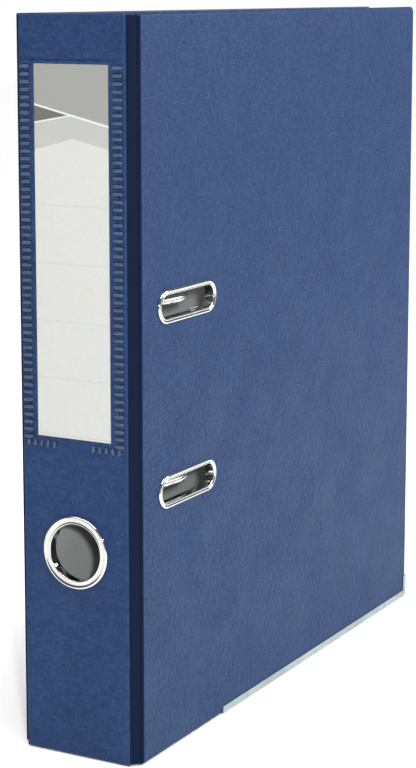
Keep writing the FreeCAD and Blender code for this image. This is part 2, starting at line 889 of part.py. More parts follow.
def lever():
    """The stamped lever: two cheeks under one web, with a pin for its roller."""
    cheek = "(ear_thick + side_play)"
    near_face = "ear_near + " + cheek
    far_face = "ear_far - " + cheek
    body = new_body("lever_arm", BACK)
    side = new_sketch(body, "XZ_Plane", "-(%s)" % near_face)
    polygon(side, (
        (across("pivot_rise - tail_low"), "lever_end"),
        (across("pivot_rise + tail_high"), "lever_end"),
        (across("pivot_rise + web_rise"), "lever_end + web_start"),
        (across("pivot_rise + web_rise"), "pivot_height - cheek_end"),
        (across("pivot_rise + cheek_end"), "pivot_height + cheek_end"),
        (across("pivot_rise - cheek_low / 2"), "pivot_height + cheek_end"),
        (across("pivot_rise - cheek_low"), "pivot_height + cheek_end / 2"),
        (across("pivot_rise - cheek_low"), "pivot_height - cheek_end"),
        (across("pivot_rise - tail_low"), "pivot_height - 2 * cheek_end"),
    ))
    pad(body, side, "(%s) - (%s)" % (far_face, near_face)).Reversed = True
    doc.recompute()
    hollow = new_sketch(body, "XZ_Plane", "-(%s + ear_thick)" % near_face)
    rise = "(web_rise - tail_high) * (web_start - tail_solid) / web_start"
    polygon(hollow, (
        (across("0"), "lever_end + tail_solid"),
        (across("pivot_rise + web_rise - ear_thick - %s" % rise), "lever_end + tail_solid"),
        (across("pivot_rise + web_rise - ear_thick"), "lever_end + web_start"),
        (across("pivot_rise + web_rise - ear_thick"), "pivot_height - web_stop"),
        (across("pivot_rise + 2 * web_rise"), "pivot_height - web_stop"),
        (across("pivot_rise + 2 * web_rise"), "pivot_height + web_stop"),
        (across("0"), "pivot_height + web_stop"),
    ))
    cut = pocket(body, hollow, "(%s) - (%s) - 2 * ear_thick" % (far_face, near_face))
    cut.Reversed = False
    doc.recompute()
    bores = new_sketch(body, "XZ_Plane")
    circle(bores, across("pivot_rise"), "pivot_height", "pivot_radius + bore_play")
    circle(bores, across("roller_rise"), "roller_height", "roller_pin_radius")
    pocket(body, bores)
    pin("lever_pivot_pin", "pivot_rise", "pivot_height", "pivot_radius", "pivot_head",
        "ear_near", "ear_far")
    pin("roller_pin", "roller_rise", "roller_height", "roller_pin_radius",
        "roller_pin_radius + pin_flange", near_face, far_face)
    roller(near_face + " + roller_inset", far_face + " - roller_inset")
    grip(near_face, far_face)


def roller(near_end, far_end):
    body = new_body("lever_roller", BACK)
    face = new_sketch(body, "XZ_Plane", "-(%s)" % near_end)
    circle(face, across("roller_rise"), "roller_height", "roller_radius")
    circle(face, across("roller_rise"), "roller_height", "roller_pin_radius + bore_play")
    pad(body, face, "(%s) - (%s)" % (far_end, near_end)).Reversed = True
    doc.recompute()


def grip(near_face, far_face):
    """A plastic sleeve on the end of the lever, with an upturned lip."""
    body = new_body("lever_grip", BACK)
    side = new_sketch(body, "XZ_Plane", "-(%s - grip_wall)" % near_face)
    under = across("pivot_rise - tail_low - grip_wall")
    polygon(side, (
        (under, "grip_end + grip_wall"),
        (across("pivot_rise + lip_rise - lip_height"), "grip_end"),
        (across("pivot_rise + lip_rise"), "grip_end + lip_height"),
        (across("pivot_rise + lip_rise - lip_height"), "grip_end + 3 * lip_height"),
        (across("pivot_rise + lip_rise + grip_wall / 2"), "grip_top"), (under, "grip_top"),
    ))
    pad(body, side, "(%s) - (%s) + 2 * grip_wall" % (far_face, near_face)).Reversed = True
    doc.recompute()
    hollow = new_sketch(body, "XZ_Plane", "-(%s)" % near_face)
    slope = "(web_rise - tail_high) * (grip_top + cut_over - lever_end) / web_start"
    polygon(hollow, (
        (across("pivot_rise - tail_low"), "lever_end"),
        (across("pivot_rise + tail_high"), "lever_end"),
        (across("pivot_rise + tail_high + " + slope), "grip_top + cut_over"),
        (across("pivot_rise - tail_low"), "grip_top + cut_over"),
    ))
    cut = pocket(body, hollow, "(%s) - (%s)" % (far_face, near_face))
    cut.Reversed = False
    doc.recompute()


def compressor():
    """The bar that presses the sheets down, and the clips that hold it on the posts."""
    body = new_body("compressor_bar", BACK)
    low = "mechanism_height - bar_half"
    high = "mechanism_height + bar_half"
    near_side = "post_depth - bar_width / 2"
    far_side = "post_depth + bar_width / 2"
    strip = new_sketch(body, "YZ_Plane", across("bar_rise"))
    rectangle(strip, near_side, low, far_side, high)
    pad(body, strip, "bar_thick")
    round_edges(body, "bar_round", lambda e: runs_along(e, X_AXIS))
    for edge in (near_side, far_side + " - bar_thick"):
        fold = new_sketch(body, "YZ_Plane", across("bar_rise"))
        rectangle(fold, edge, low + " + fold_inset", edge + " + bar_thick", high + " - fold_inset")
        pad(body, fold, "bar_thick + bar_fold")
    holes = new_sketch(body, "YZ_Plane")
    for name, height in slot_heights():
        circle(holes, "post_depth", height, "clip_neck")
    pocket(body, holes)
    clip = doc.addObject("PartDesign::Body", "clip")
    bore = "wire_radius + bore_play"
    side = "clip_radius - clip_step"
    face = "bar_rise + bar_thick"
    turned_piece(clip, (
        (bore, "clip_rise"), ("clip_flange", "clip_rise"), ("clip_flange", "bar_rise"),
        ("clip_neck", "bar_rise"), ("clip_neck", face),
        (side, face), (side, face + " + clip_tall - clip_slope"),
        (side + " - clip_slope", face + " + clip_tall"), (bore, face + " + clip_tall"),
    ))
    upright = clip.Shape.copy()
    upright.rotate(Vector(0, 0, 0), Vector(0, 0, 1), -90)
    spots = [
        Vector(number(FLOOR), S["post_depth"], number(height)) for name, height in slot_heights()
    ]
    copies("compressor_clips", BACK, upright, spots)


def check_and_write():
    """Stop on any failed object or bad shape, then write one file for each piece."""
    doc.recompute()
    for thing in doc.Objects:
        if {"Invalid", "Error"} & set(thing.State):
            raise RuntimeError("%s has failed: %s" % (thing.Label, thing.State))
    os.makedirs("parts", exist_ok=True)
    for part in PARTS:
        if part.Shape.isNull() or not part.Shape.isValid():
            raise RuntimeError(part.Label + " has no valid shape")
        print("%-22s %2d solid  %9.1f mm3" % (part.Label, len(part.Shape.Solids), part.Shape.Volume))
        part.Shape.exportStep("parts/%s.step" % part.Label)


back_cover()
front_cover()
spine()
slot_rims()
base_plate()
posts()
rivets()
arch_bracket()
lever()
compressor()
check_and_write()
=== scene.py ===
# %% [markdown]
# # A lever arch file, from frame to finish
# The design of the file is already fixed: its boards, its mechanism and its hinges are
# loaded below as a frame. This lesson adds what the eye reads on the real thing: film
# that turns in round the boards, rolled rims, welded clear film, paper and metal. Nothing
# in the frame is moved, so the finished file still opens on its own hinges.

# %% Load the frame
import json
import math

import bmesh
import bpy
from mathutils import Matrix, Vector


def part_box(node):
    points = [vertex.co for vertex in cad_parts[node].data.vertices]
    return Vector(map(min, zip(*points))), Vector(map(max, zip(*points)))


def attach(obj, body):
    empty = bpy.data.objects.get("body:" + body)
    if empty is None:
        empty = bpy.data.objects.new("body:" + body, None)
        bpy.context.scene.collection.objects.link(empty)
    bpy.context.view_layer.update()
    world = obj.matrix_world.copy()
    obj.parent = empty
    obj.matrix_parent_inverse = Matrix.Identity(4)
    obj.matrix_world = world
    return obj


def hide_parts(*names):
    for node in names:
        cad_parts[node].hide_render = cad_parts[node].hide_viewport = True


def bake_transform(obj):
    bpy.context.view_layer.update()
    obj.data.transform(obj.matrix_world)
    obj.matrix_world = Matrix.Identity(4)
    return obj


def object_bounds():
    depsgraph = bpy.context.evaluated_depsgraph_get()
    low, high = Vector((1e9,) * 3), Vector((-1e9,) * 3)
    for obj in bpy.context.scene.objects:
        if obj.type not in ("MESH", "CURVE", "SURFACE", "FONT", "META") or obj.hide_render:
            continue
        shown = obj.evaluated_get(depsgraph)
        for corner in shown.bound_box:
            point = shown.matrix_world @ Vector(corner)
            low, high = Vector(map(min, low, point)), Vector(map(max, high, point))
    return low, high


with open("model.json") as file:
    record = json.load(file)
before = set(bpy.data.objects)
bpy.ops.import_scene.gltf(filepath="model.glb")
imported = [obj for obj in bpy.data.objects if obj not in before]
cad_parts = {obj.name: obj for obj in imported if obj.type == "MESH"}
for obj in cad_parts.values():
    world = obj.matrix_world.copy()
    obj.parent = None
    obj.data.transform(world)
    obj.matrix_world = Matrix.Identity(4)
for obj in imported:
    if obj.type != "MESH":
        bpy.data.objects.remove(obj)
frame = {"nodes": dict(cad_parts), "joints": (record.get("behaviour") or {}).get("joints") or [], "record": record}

cad_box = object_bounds()
print("design box, mm:", [round(1000 * v) for corner in cad_box for v in corner])

# %% [markdown]
# ## Driving sizes
# Places come from the frame. A learner should ask it where a piece is, and only keep the
# few sizes that the frame doesn't hold, such as the radius of a fold.

# %% Sizes read from the frame
MM = 0.001
spine_low, spine_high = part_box("spine_film")
front_low, front_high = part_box("front_film")
ring_low, ring_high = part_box("finger_ring_backing")
washer_low, washer_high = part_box("slot_backing_upper")
pocket_low, pocket_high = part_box("label_pocket")
card_low, card_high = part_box("label_card")
SKIN = front_high.x - front_low.x  # a cover, from its face to its lining

joints = {joint["name"]: joint for joint in frame["joints"]}
front_hinge = Vector(joints["front_hinge"]["pos_m"])
back_hinge = Vector(joints["back_hinge"]["pos_m"])
across_back = Vector(joints["compressor_slide"]["axis"]).normalized()
along_back = Vector((-across_back.y, across_back.x, 0))
lean = math.degrees(math.asin(-across_back.y))
print("cover thickness %.2f mm, the back cover leans in by %.1f degrees" % (SKIN / MM, lean))

# %% Sizes of film, lining and rims
FOLD = 0.8 * MM
FILM = 0.25 * MM
TURN_IN = 12 * MM
UNDER_LINING = 0.05 * MM
CORNER = 3 * MM
LEAST_CORNER = 0.02 * MM
LINING = 0.2 * MM
LINING_CORNER = 1.5 * MM
HEM_SHOWN = 5 * MM
RIM_FLANGE = 2.25 * MM
RIM_WALL = 0.5 * MM
RIM_PROUD = 1.0 * MM
print("film %.2f mm, turned in by %.0f mm" % (FILM / MM, TURN_IN / MM))

# %% [markdown]
# ## Small makers
# Every piece ends the same way: a mesh whose points already stand where the piece is,
# on an object at the origin. It gets its material and the body it rides on.

# %% From points and faces to a finished piece
def piece_from(bm, name, material, slot, body, *replaced, smooth=None):
    """Turn points and faces into a mesh and finish it as a piece."""
    bmesh.ops.recalc_face_normals(bm, faces=bm.faces)
    mesh = bpy.data.meshes.new(name)
    bm.to_mesh(mesh)
    bm.free()
    return finish_piece(mesh, name, material, slot, body, *replaced, smooth=smooth)


def finish_piece(mesh, name, material, slot, body, *replaced, smooth=None):
    """Put a mesh in the scene with its material, riding on its body. The slot is not used."""
    piece = bpy.data.objects.new(name, mesh)
    bpy.context.scene.collection.objects.link(piece)
    mesh.materials.clear()
    mesh.materials.append(material)
    if smooth is not None:
        mesh.shade_smooth()
        mesh.set_sharp_from_angle(angle=math.radians(smooth))
    if body:
        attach(piece, body)
    if replaced:
        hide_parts(*replaced)
    return piece


def loop_of(bm, points):
    return [bm.verts.new(point) for point in points]


def bridge(bm, first, second):
    """Quads between two closed loops with the same number of points."""
    count = len(first)
    for i in range(count):
        j = (i + 1) % count
        bm.faces.new((first[i], first[j], second[j], second[i]))


def fill_between(bm, outer, holes):
    """A flat face inside the outer loop, open where the holes are."""
    edges = []
    for loop in [outer, *holes]:
        for i, vert in enumerate(loop):
            other = loop[(i + 1) % len(loop)]
            edges.append(bm.edges.get((vert, other)) or bm.edges.new((vert, other)))
    bmesh.ops.triangle_fill(bm, edges=edges, use_beauty=True, use_dissolve=False)


# %% [markdown]
# ## Outlines
# Two outlines do most of the work. A rounded rectangle is the edge of a cover or of a
# sheet, and it can be inset. A stadium, two half circles joined by straight sides, is the
# edge of a slot rim, and it can be grown.

# %% Rounded rectangle, stadium and circle
def arc(centre, radius, start, end, steps):
    turn = (end - start) / steps
    return [
        (centre[0] + radius * math.cos(start + turn * i),
         centre[1] + radius * math.sin(start + turn * i))
        for i in range(steps + 1)
    ]


def circle(centre, radius, steps):
    return arc(centre, radius, 0, 2 * math.pi, steps)[:-1]


def rounded_rectangle(low, high, radii, steps=6):
    """Corners run from the low corner round to the upper left one."""
    corners = ((low[0], low[1]), (high[0], low[1]), (high[0], high[1]), (low[0], high[1]))
    points = []
    for i, (corner, radius) in enumerate(zip(corners, radii)):
        inward_x = radius if i in (0, 3) else -radius
        inward_y = radius if i in (0, 1) else -radius
        start = math.pi + i * math.pi / 2
        centre = (corner[0] + inward_x, corner[1] + inward_y)
        points += arc(centre, radius, start, start + math.pi / 2, steps)
    return points


def inset_edge(low, high, inset, radii):
    """The edge of a sheet that stops short of a rectangle by the inset."""
    return rounded_rectangle(
        (low[0] + inset, low[1] + inset), (high[0] - inset, high[1] - inset), radii
    )


def stadium(centre, length, width, grow=0.0, steps=20):
    """A slot outline, long in the first direction."""
    reach = (length - width) / 2
    radius = width / 2 + grow
    right = arc((centre[0] + reach, centre[1]), radius, -math.pi / 2, math.pi / 2, steps)
    left = arc((centre[0] - reach, centre[1]), radius, math.pi / 2, 1.5 * math.pi, steps)
    return right + left


# %% [markdown]
# ## Node helpers
# A material is a small machine of nodes. These helpers add a node with its settings,
# link two sockets, and make a group with named inputs and outputs, which several
# materials can then share with their own values.

# %% Helpers for shader node trees
MIX_FIRST, MIX_SECOND, MIX_RESULT = 6, 7, 2  # the colour sockets of a Mix node


class Tree:
    """A node tree that is written one node at a time."""

    def __init__(self, nodes):
        self.tree = nodes

    def add(self, kind, settings=None, **inputs):
        node = self.tree.nodes.new(kind)
        for name, value in (settings or {}).items():
            setattr(node, name, value)
        for name, value in inputs.items():
            self.plug(value, node.inputs[name.replace("_", " ")])
        return node

    def plug(self, value, socket):
        if isinstance(value, bpy.types.NodeSocket):
            self.tree.links.new(value, socket)
        else:
            socket.default_value = value

    def math(self, operation, first, second=0.0, third=0.0):
        node = self.add("ShaderNodeMath", {"operation": operation})
        for value, socket in zip((first, second, third), node.inputs):
            self.plug(value, socket)
        return node.outputs[0]

    def mix(self, factor, first, second):
        node = self.add("ShaderNodeMix", {"data_type": "RGBA"})
        self.plug(factor, node.inputs[0])
        self.plug(first, node.inputs[MIX_FIRST])
        self.plug(second, node.inputs[MIX_SECOND])
        return node.outputs[MIX_RESULT]

    def ramp(self, value, low, high):
        """0 up to the low value, 1 from the high value on, and even between them."""
        node = self.add("ShaderNodeValToRGB", Fac=value)
        for element, place, shade in zip(node.color_ramp.elements, (low, high), (0.0, 1.0)):
            element.position = place
            element.color = (shade, shade, shade, 1)
        return node.outputs[0]

    def step(self, value, edge, soft):
        """0 below the edge, 1 above it, with a soft change."""
        node = self.add(
            "ShaderNodeMapRange", Value=value, From_Min=edge - soft, From_Max=edge + soft
        )
        return node.outputs[0]

    def noise(self, vector, scale, detail=2.0, roughness=0.5):
        node = self.add(
            "ShaderNodeTexNoise", Vector=vector, Scale=scale, Detail=detail, Roughness=roughness
        )
        return node.outputs[0]

    def stretched(self, vector, scale):
        return self.add("ShaderNodeMapping", Vector=vector, Scale=scale).outputs[0]

    def place(self):
        return self.add("ShaderNodeTexCoord").outputs["Object"]

    def split(self, vector):
        return self.add("ShaderNodeSeparateXYZ", Vector=vector).outputs


def new_group(name, inputs, outputs):
    """A shader node group. Inputs are (name, value); outputs are (name, kind)."""
    group = bpy.data.node_groups.new(name, "ShaderNodeTree")
    for label, value in inputs:
        socket = group.interface.new_socket(label, in_out="INPUT", socket_type="NodeSocketFloat")
        socket.default_value = value
    for label, kind in outputs:
        group.interface.new_socket(label, in_out="OUTPUT", socket_type=kind)
    tree = Tree(group)
    given = group.nodes.new("NodeGroupInput").outputs
    result = group.nodes.new("NodeGroupOutput").inputs
    return group, tree, given, result


def use_group(tree, group, **values):
    return tree.add("ShaderNodeGroup", {"node_tree": group}, **values).outputs


def new_material(name, **fixed):
    """A material with one Principled shader whose fixed sockets are set directly."""
    material = bpy.data.materials.new(name)
    material.use_nodes = True
    shader = material.node_tree.nodes["Principled BSDF"]
    for label, value in fixed.items():
        shader.inputs[label.replace("_", " ")].default_value = value
    return material, Tree(material.node_tree), shader


def bumped(tree, shader, height, strength, distance, below=None):
    """Feed a height to the shader's normal, on top of another bump if one is given."""
    node = tree.add("ShaderNodeBump", Height=height, Strength=strength, Distance=distance)
    if below is not None:
        tree.plug(below, node.inputs["Normal"])
    tree.plug(node.outputs[0], shader.inputs["Normal"])


# %% [markdown]
# ## The linen emboss
# The film is rolled with a linen pattern: short vertical threads, finer cross threads and
# a few thicker slubs. Each is a noise that is squeezed harder in one direction than in the
# other, so its blobs become threads. A fourth noise is slow and only makes the tone
# uneven. The group gives a height for the bump and a mask for the colour. The mask paints
# the crowns of the threads lighter as a painted highlight, and it adds the uneven tone.
# Both the film and the darker hinge strips use it.

# %% Linen emboss group
UPRIGHT_GRAIN = (1000, 1000, 330)  # blobs to the metre along X, Y and Z
CROSS_GRAIN = (300, 300, 900)
SLUB_GRAIN = (800, 800, 190)
PATCH_GRAIN = 60.0
CROSS_GAIN = 1.04
PATCH_SHARE = 0.2

linen, t, given, result = new_group(
    "linen_emboss",
    [("Thread", 1.0), ("Slub", 0.5)],
    [("Height", "NodeSocketFloat"), ("Tone And Highlight", "NodeSocketFloat")],
)
spot = t.place()
upright, crosswise, slubs = [
    t.noise(t.stretched(spot, grain), 1.0, 1.0)
    for grain in (UPRIGHT_GRAIN, CROSS_GRAIN, SLUB_GRAIN)
]
patches = t.noise(spot, PATCH_GRAIN)
threads = t.math("MAXIMUM", upright, t.math("MULTIPLY", crosswise, CROSS_GAIN))
thick = t.math("MULTIPLY", t.ramp(slubs, 0.55, 0.7), given["Slub"])
height = t.math("MULTIPLY_ADD", threads, given["Thread"], thick)
t.plug(height, result["Height"])
# Painted highlight: the crowns of the threads are painted lighter, and the slow patches add an uneven tone.
crown_highlight = t.math("MULTIPLY", height, 1 - PATCH_SHARE)
tone_and_highlight = t.math("MULTIPLY_ADD", patches, PATCH_SHARE, crown_highlight)
t.plug(t.ramp(tone_and_highlight, 0.4, 0.75), result["Tone And Highlight"])
print("linen emboss:", len(linen.nodes), "nodes")

# %% [markdown]
# ## Dust and handling marks
# Nothing that is used stays evenly glossy. This group gives soft smears and fine specks,
# which raise the roughness of film, metal and plastic a little.

# %% Handling group
handling, t, given, result = new_group(
    "handling_marks",
    [("Scale", 60.0), ("Low", 0.2), ("High", 0.4)],
    [("Roughness", "NodeSocketFloat"), ("Mask", "NodeSocketFloat")],
)
smears = t.noise(t.place(), given["Scale"], 5.0, 0.6)
mask = t.ramp(smears, 0.35, 0.7)
t.plug(mask, result["Mask"])
span = t.math("SUBTRACT", given["High"], given["Low"])
t.plug(t.math("MULTIPLY_ADD", mask, span, given["Low"]), result["Roughness"])
print("handling marks:", len(handling.nodes), "nodes")

# %% [markdown]
# ## Polypropylene film
# The cover film is a mid navy, with a painted highlight that makes the crowns of its threads
# a little lighter. Its gloss is soft, because the emboss scatters the light. The strips
# along the hinges are pressed with a hot bar, which flattens the linen and makes the colour
# look deeper; their dark colour is also painted shade, since the groove lies in shade. The
# bar is wider than the groove, so it also presses a narrow zone on the edge of each piece
# beside it, and that zone gets the same dark colour, a painted shade over the folds beside
# the groove. The film's material finds that zone by its distance from the spine's face.

# %% Film colours and the pressed zone
FILM_DEEP = (0.0075, 0.023, 0.072, 1)
# FILM_PALE is the colour of the painted highlight on the thread crowns and of the pale patches.
FILM_PALE = (0.017, 0.043, 0.12, 1)
# Pressed colours: the deeper colour of pressed film, darkened further as painted shade of the groove.
PRESS_SHADED_DEEP = (0.004, 0.009, 0.028, 1)
PRESS_SHADED_PALE = (0.006, 0.013, 0.038, 1)
PRESS_NEAR = spine_low.y + FOLD
PRESS_FAR = front_low.y + 1.6 * MM
FILM_GLOSS = 0.15
PRESS_GLOSS_LOST = 0.13
print("pressed from %.1f to %.1f mm" % (PRESS_NEAR / MM, PRESS_FAR / MM))

# %% Film materials
def film_look(t, shader, deep, pale, threads, strength, roughness):
    """Colour, gloss and relief of a film; threads is how much of the linen is left."""
    emboss = use_group(t, linen, Thread=threads, Slub=0.12)
    marks = use_group(t, handling, Scale=35.0, Low=roughness, High=roughness + 0.1)
    t.plug(marks["Roughness"], shader.inputs["Roughness"])
    swell = t.noise(t.place(), 14.0, 1.0)
    waves = t.add("ShaderNodeBump", Height=swell, Strength=0.12, Distance=4 * MM)
    bumped(t, shader, emboss["Height"], strength, 0.3 * MM, waves.outputs[0])
    # The pale colour shows on the painted highlight of the thread crowns and in the pale patches of tone.
    return t.mix(emboss["Tone And Highlight"], deep, pale)


film, t, shader = new_material("navy_film")
from_spine = t.split(t.place())["Y"]
beyond_near = t.step(from_spine, PRESS_NEAR, 0.2 * MM)
before_far = t.math("SUBTRACT", 1.0, t.step(from_spine, PRESS_FAR, 0.3 * MM))
# Painted shade: the pressed zone on the edges of spine and cover is painted in the dark pressed colour.
pressed_and_shaded = t.math("MULTIPLY", beyond_near, before_far)
threads_left = t.math("SUBTRACT", 1.0, pressed_and_shaded)
embossed = film_look(t, shader, FILM_DEEP, FILM_PALE, threads_left, 1.2, 0.48)
t.plug(t.mix(pressed_and_shaded, embossed, PRESS_SHADED_DEEP), shader.inputs["Base Color"])
gloss = t.math("MULTIPLY_ADD", pressed_and_shaded, -PRESS_GLOSS_LOST, FILM_GLOSS)
t.plug(gloss, shader.inputs["Specular IOR Level"])

# Hinge strip colour: the pressed film's deeper colour together with painted shade of the groove.
pressed_shaded_film, t, shader = new_material("pressed_shaded_film", Specular_IOR_Level=0.05)
smoothed_and_shaded = film_look(t, shader, PRESS_SHADED_DEEP, PRESS_SHADED_PALE, 0.2, 0.15, 0.55)
t.plug(smoothed_and_shaded, shader.inputs["Base Color"])
print("films:", film.name, pressed_shaded_film.name)

# %% [markdown]
# ## Nickel, zinc and steel
# Rims, wire and rivets are nickel plated and bright. The plates of the mechanism are a
# darker steel, and the rails are dull zinc with a milky look. All are metals, so their
# colour is the colour of their reflections. Fine drawing lines and smears keep them from
# looking like mirrors.

# %% Metal materials
SMEAR_DARKENS = 0.82


def metal_material(name, colour, roughness, line_scale, line_strength, metallic=1.0):
    """Metal with smears and with drawing lines, so many to the metre along X, Y and Z."""
    material, t, shader = new_material(name, Metallic=metallic)
    marks = use_group(t, handling, Scale=90.0, Low=roughness[0], High=roughness[1])
    dull = tuple(SMEAR_DARKENS * c for c in colour)
    t.plug(t.mix(marks["Mask"], (*colour, 1), (*dull, 1)), shader.inputs["Base Color"])
    t.plug(marks["Roughness"], shader.inputs["Roughness"])
    lines = t.noise(t.stretched(t.place(), line_scale), 1.0)
    bumped(t, shader, lines, line_strength, 0.1 * MM)
    return material


nickel, wire_nickel, plate_steel, zinc = [metal_material(*values) for values in (
    ("bright_nickel", (0.66, 0.655, 0.64), (0.05, 0.14), (300, 300, 300), 0.06),
    ("wire_nickel", (0.6, 0.59, 0.57), (0.16, 0.28), (200, 200, 900), 0.05),
    ("plate_steel", (0.4, 0.4, 0.39), (0.24, 0.36), (60, 1400, 60), 0.08),
    ("dull_zinc", (0.38, 0.41, 0.4), (0.38, 0.55), (900, 40, 900), 0.15, 0.8),
)]
print("metals:", nickel.name, wire_nickel.name, plate_steel.name, zinc.name)

# %% [markdown]
# ## Paper and board
# The boards are grey pulp board, and the lining is a smooth grey paper. Both need fibres:
# a fine noise for the bump and a slow one for the tone.

# %% Paper and board materials
def paper_material(name, deep, pale, fibre, strength):
    """Paper or board with so many fibres to the metre."""
    material, t, shader = new_material(name, Roughness=0.85, Specular_IOR_Level=0.25)
    spot = t.place()
    flecks = t.math("MULTIPLY", t.noise(spot, fibre, 4.0), 0.4)
    tone = t.math("MULTIPLY_ADD", t.noise(spot, 18.0, 3.0), 0.6, flecks)
    t.plug(t.mix(t.ramp(tone, 0.38, 0.62), deep, pale), shader.inputs["Base Color"])
    fibres = t.noise(t.stretched(spot, (1.0, 1.0, 0.4)), fibre, 3.0)
    bumped(t, shader, fibres, strength, 0.2 * MM)
    return material


lining_paper = paper_material(
    "grey_lining", (0.42, 0.445, 0.44, 1), (0.49, 0.515, 0.505, 1), 900.0, 0.25
)
grey_board = paper_material(
    "grey_board", (0.2, 0.19, 0.17, 1), (0.34, 0.32, 0.29, 1), 1400.0, 0.6
)
print("papers:", lining_paper.name, grey_board.name)

# %% [markdown]
# ## Cover skins
# On the real file one sheet of film is turned in round each board. Modelled as a thin
# shell, it has a soft fold all round, a hem inside, and holes where the rims sit. A bevel
# on a box would give the fold, but not the hem or the true thickness. So the shell is
# swept: one outline is repeated at each step of the film's section, and the flat faces are
# filled around the slots.

# %% Places on a cover
class CoverPlace:
    """Points of a cover from depth into it, distance from its hinge, and height."""

    def __init__(self, hinge, outward, along):
        self.hinge = Vector((hinge.x, hinge.y, 0))
        self.outward = outward
        self.along = along
        self.face = front_high.x - front_hinge.x

    def point(self, depth, reach, up):
        spot = self.hinge + self.outward * (self.face - depth) + self.along * reach
        return Vector((spot.x, spot.y, up))


front_place = CoverPlace(front_hinge, Vector((1, 0, 0)), Vector((0, 1, 0)))
back_place = CoverPlace(back_hinge, -across_back, along_back)
COVER_NEAR = front_low.y - front_hinge.y
COVER_FAR = front_high.y - front_hinge.y
print("the covers reach from %.1f to %.1f mm beyond their hinges"
      % (COVER_NEAR / MM, COVER_FAR / MM))

# %% The slots of the front cover
def slot_sizes(name):
    """Centre, length and width of the hole in the film, from the washer's box."""
    low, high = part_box(name)
    centre = ((low.y + high.y) / 2 - front_hinge.y, (low.z + high.z) / 2)
    grow = 2 * (RIM_WALL - RIM_FLANGE)
    return centre, high.y - low.y + grow, high.z - low.z + grow


slots = {side: slot_sizes("slot_backing_" + side) for side in ("upper", "lower")}
for side, (centre, length, width) in slots.items():
    print("%s slot at height %.1f mm, %.1f x %.1f mm"
          % (side, centre[1] / MM, length / MM, width / MM))


# %% Sweep the film round a board
FOLD_STEPS = 4


def film_section():
    """(inset, depth) pairs of the film's outer skin, then of its inner skin."""
    back = SKIN - UNDER_LINING
    quarter = math.pi / 2
    face_fold, hem_fold = (FOLD, FOLD), (FOLD, back - FOLD)
    outer = [(2 * FOLD, 0.0)]
    for centre, start in ((face_fold, -quarter), (hem_fold, -2 * quarter)):
        outer += arc(centre, FOLD, start, start - quarter, FOLD_STEPS)
    outer.append((TURN_IN, back))
    inner = [(TURN_IN, back - FILM)]
    for centre, start in ((hem_fold, -3 * quarter), (face_fold, -2 * quarter)):
        inner += arc(centre, FOLD - FILM, start, start + quarter, FOLD_STEPS)
    inner.append((2 * FOLD, FILM))
    return outer + inner


def wrapped_film(name, low, high, radii, place, holes, body, *replaced):
    """A thin film round a board, open inside the hem and at the holes."""
    bm = bmesh.new()
    loops = []
    for inset, depth in film_section():
        shrunk = [max(radius - inset, LEAST_CORNER) for radius in radii]
        edge = inset_edge(low, high, inset, shrunk)
        loops.append(loop_of(bm, [place(depth, a, b) for a, b in edge]))
    for first, second in zip(loops, loops[1:]):
        bridge(bm, first, second)
    outer_holes = [loop_of(bm, [place(0.0, a, b) for a, b in hole]) for hole in holes]
    inner_holes = [loop_of(bm, [place(FILM, a, b) for a, b in hole]) for hole in holes]
    fill_between(bm, loops[0], outer_holes)
    fill_between(bm, loops[-1], inner_holes)
    for outer, inner in zip(outer_holes, inner_holes):
        bridge(bm, outer, inner)
    skin = piece_from(bm, name, film, "cover_film", body, *replaced, smooth=35)
    print(name, len(skin.data.polygons), "faces")


# %% Wrap both covers
slot_holes = [stadium(centre, length, width) for centre, length, width in slots.values()]
cover_low = (COVER_NEAR, front_low.z)
cover_high = (COVER_FAR, front_high.z)
cover_corners = (FOLD, CORNER, CORNER, FOLD)
wrapped_film(
    "front_cover_film", cover_low, cover_high, cover_corners,
    front_place.point, slot_holes, "front_cover", "front_film",
)
wrapped_film(
    "back_cover_film", cover_low, cover_high, cover_corners,
    back_place.point, [], "back_cover", "back_film",
)

# %% The spine's film, with the hole of the finger ring
mounts = {mount["name"]: mount for mount in frame["record"]["mounts"]}
ring_centre = ((ring_low.x + ring_high.x) / 2, (ring_low.z + ring_high.z) / 2)
RING_BORE = mounts["finger_hole"]["dims"]["r_mm"] * MM
RING_BARREL = RING_BORE + 0.9 * MM
RING_FLANGE = (ring_high.x - ring_low.x) / 2 + 0.3 * MM


def spine_point(depth, across, up):
    return Vector((across, spine_low.y + depth, up))


ring_hole = circle(ring_centre, RING_BARREL, 64)
spine_corner_low = (spine_low.x, spine_low.z)
spine_corner_high = (spine_high.x, spine_high.z)
wrapped_film(
    "spine_cover_film", spine_corner_low, spine_corner_high, (FOLD,) * 4,
    spine_point, [ring_hole], "spine", "spine_film",
)

# %% [markdown]
# ## Linings
# A sheet of grey paper is glued inside each cover and the spine. It stops short of the
# edge, so a narrow blue hem stays in sight when the file is open.

# %% Cut and place the lining papers
def lining_sheet(name, edge, holes, place, body, *replaced):
    """A flat sheet with holes, glued to the inside of a board."""
    bm = bmesh.new()
    rows = []
    for depth in (SKIN - LINING, SKIN):
        outer = loop_of(bm, [place(depth, a, b) for a, b in edge])
        inner = [loop_of(bm, [place(depth, a, b) for a, b in hole]) for hole in holes]
        fill_between(bm, outer, inner)
        rows.append([outer, *inner])
    for first, second in zip(*rows):
        bridge(bm, first, second)
    piece_from(bm, name, lining_paper, "lining_paper", body, *replaced)


